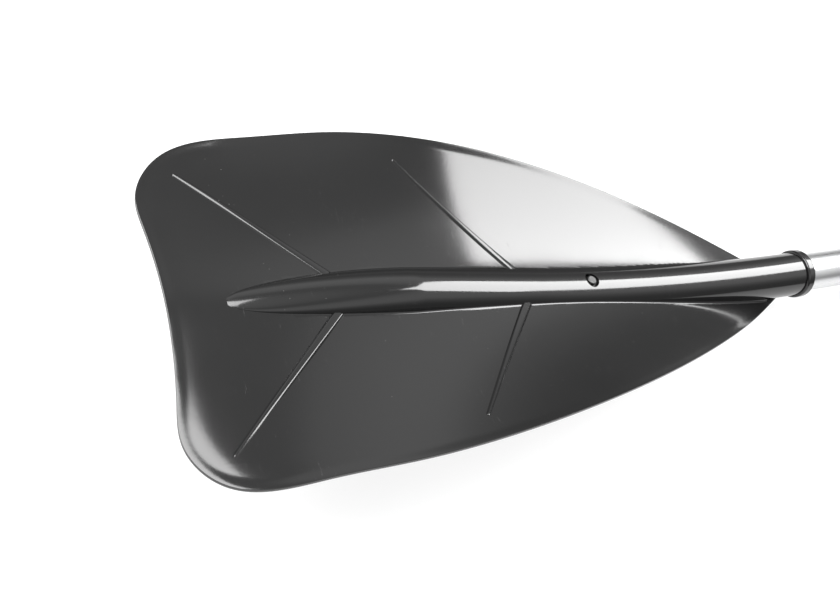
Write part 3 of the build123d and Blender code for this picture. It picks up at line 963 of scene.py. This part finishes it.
def area_light(name, aim, azimuth, elevation, distance, size, power, roll):
    """Rectangular soft light that faces a point; its azimuth is in degrees from +X towards +Y."""
    a, e = math.radians(azimuth), math.radians(elevation)
    way = Vector((math.cos(a) * math.cos(e), math.sin(a) * math.cos(e), math.sin(e)))
    light = bpy.data.lights.new(name, "AREA")
    light.shape = "RECTANGLE"
    light.size, light.size_y = size
    light.energy = power
    obj = bpy.data.objects.new(name, light)
    obj.location = MOUTH_M + Vector(aim) + way * distance
    rolled = Matrix.Rotation(math.radians(roll), 3, "Z").to_quaternion()
    obj.rotation_mode = "QUATERNION"
    obj.rotation_quaternion = (-way).to_track_quat("-Z", "Y") @ rolled
    bpy.context.scene.collection.objects.link(obj)


def make_floor():
    """Wide pale floor a little under the oar."""
    low, high = cad_box
    z = low.z - FLOOR_GAP_M
    half = FLOOR_HALF_M
    middle = (low.x + high.x) / 2
    corners = [(middle + x * half, y * half, z) for x, y in ((-1, -1), (1, -1), (1, 1), (-1, 1))]
    data = bpy.data.meshes.new("floor")
    data.from_pydata(corners, [], [(0, 1, 2, 3)])
    floor = bpy.data.objects.new("floor", data)
    bpy.context.scene.collection.objects.link(floor)
    material = bpy.data.materials.new("floor")
    material.use_nodes = True
    shader = material.node_tree.nodes["Principled BSDF"]
    shader.inputs["Base Color"].default_value = (FLOOR_TONE, FLOOR_TONE, FLOOR_TONE, 1)
    shader.inputs["Roughness"].default_value = FLOOR_ROUGH
    shader.inputs["Emission Color"].default_value = (1, 1, 1, 1)
    shader.inputs["Emission Strength"].default_value = FLOOR_GLOW
    data.materials.append(material)


def make_room():
    """Room whose brightness goes by elevation in reflections, plain to the camera."""
    world = bpy.data.worlds.new("studio")
    world.use_nodes = True
    tree = world.node_tree
    background = tree.nodes["Background"]
    background.inputs["Color"].default_value = (1, 1, 1, 1)
    coords = tree.nodes.new("ShaderNodeTexCoord")
    split = tree.nodes.new("ShaderNodeSeparateXYZ")
    tree.links.new(coords.outputs["Generated"], split.inputs[0])
    curve = tree.nodes.new("ShaderNodeFloatCurve")
    points = curve.mapping.curves[0].points
    for elevation, level in ROOM_LIGHT[1:-1]:
        points.new(math.sin(math.radians(elevation)), level)
    points[0].location = (0.0, ROOM_LIGHT[0][1])
    points[-1].location = (1.0, ROOM_LIGHT[-1][1])
    curve.mapping.update()
    tree.links.new(split.outputs["Z"], curve.inputs["Value"])
    scale = tree.nodes.new("ShaderNodeMath")
    scale.operation = "MULTIPLY"
    scale.inputs[1].default_value = ROOM_SCALE
    tree.links.new(curve.outputs["Value"], scale.inputs[0])
    path = tree.nodes.new("ShaderNodeLightPath")
    seen = tree.nodes.new("ShaderNodeMix")
    seen.inputs["B"].default_value = BACKDROP
    tree.links.new(path.outputs["Is Camera Ray"], seen.inputs["Factor"])
    tree.links.new(scale.outputs[0], seen.inputs["A"])
    tree.links.new(seen.outputs["Result"], background.inputs["Strength"])
    bpy.context.scene.world = world
    bpy.context.scene.view_settings.view_transform = "Standard"


def make_camera():
    """Camera over the blade's end, looking back along the oar."""
    right, up = Vector(CAMERA_RIGHT), Vector(CAMERA_UP)
    back = right.cross(up).normalized()
    data = bpy.data.cameras.new("camera")
    data.lens = CAMERA_LENS
    camera = bpy.data.objects.new("camera", data)
    turn = Matrix((right, up, back)).transposed()
    place = Matrix.Translation(MOUTH_M + Vector(CAMERA_FROM_MOUTH))
    camera.matrix_world = place @ turn.to_4x4()
    bpy.context.scene.collection.objects.link(camera)
    bpy.context.scene.camera = camera


# ---------------------------------------------------------------- everything together

blade = make_blade()
foam = [foam_plug("lower_float_plug", 3), foam_plug("upper_float_plug", 5)]
bung = end_bung()
grip = hand_grip()
springs = button_springs()

gloss_black("blade_plastic", 0.005, 0.10).put_on(blade)
gloss_black("ring_plastic", 0.005, 0.12).put_on(NODES["socket_ring"])
tube_metal().put_on(NODES["lower_shaft"], NODES["upper_shaft"], NODES["joint_ferrule"])
bright_steel("button_steel", 0.07, 0.12, 0.45).put_on(NODES["blade_button"])
bright_steel("joint_button_steel", 0.28, 0.40, 0.35).put_on(NODES["joint_button"])
bright_steel("spring_steel", 0.38, 0.55, 0.28).put_on(*springs)
bright_steel("rivet_aluminium", 0.30, 0.42, 0.34).put_on(
    NODES["ferrule_rivets"], NODES["sleeve_rivets"]
)
black_rubber().put_on(NODES["drip_ring"], grip, bung)
satin_plastic().put_on(
    NODES["oarlock_sleeve"], NODES["stop_ring"], NODES["joint_collar"], NODES["grip_end_cap"]
)
pale_foam().put_on(*foam)

make_floor()
make_room()
area_light("key", KEY_TARGET, *KEY)
area_light("fill", FILL_TARGET, *FILL)
make_camera()
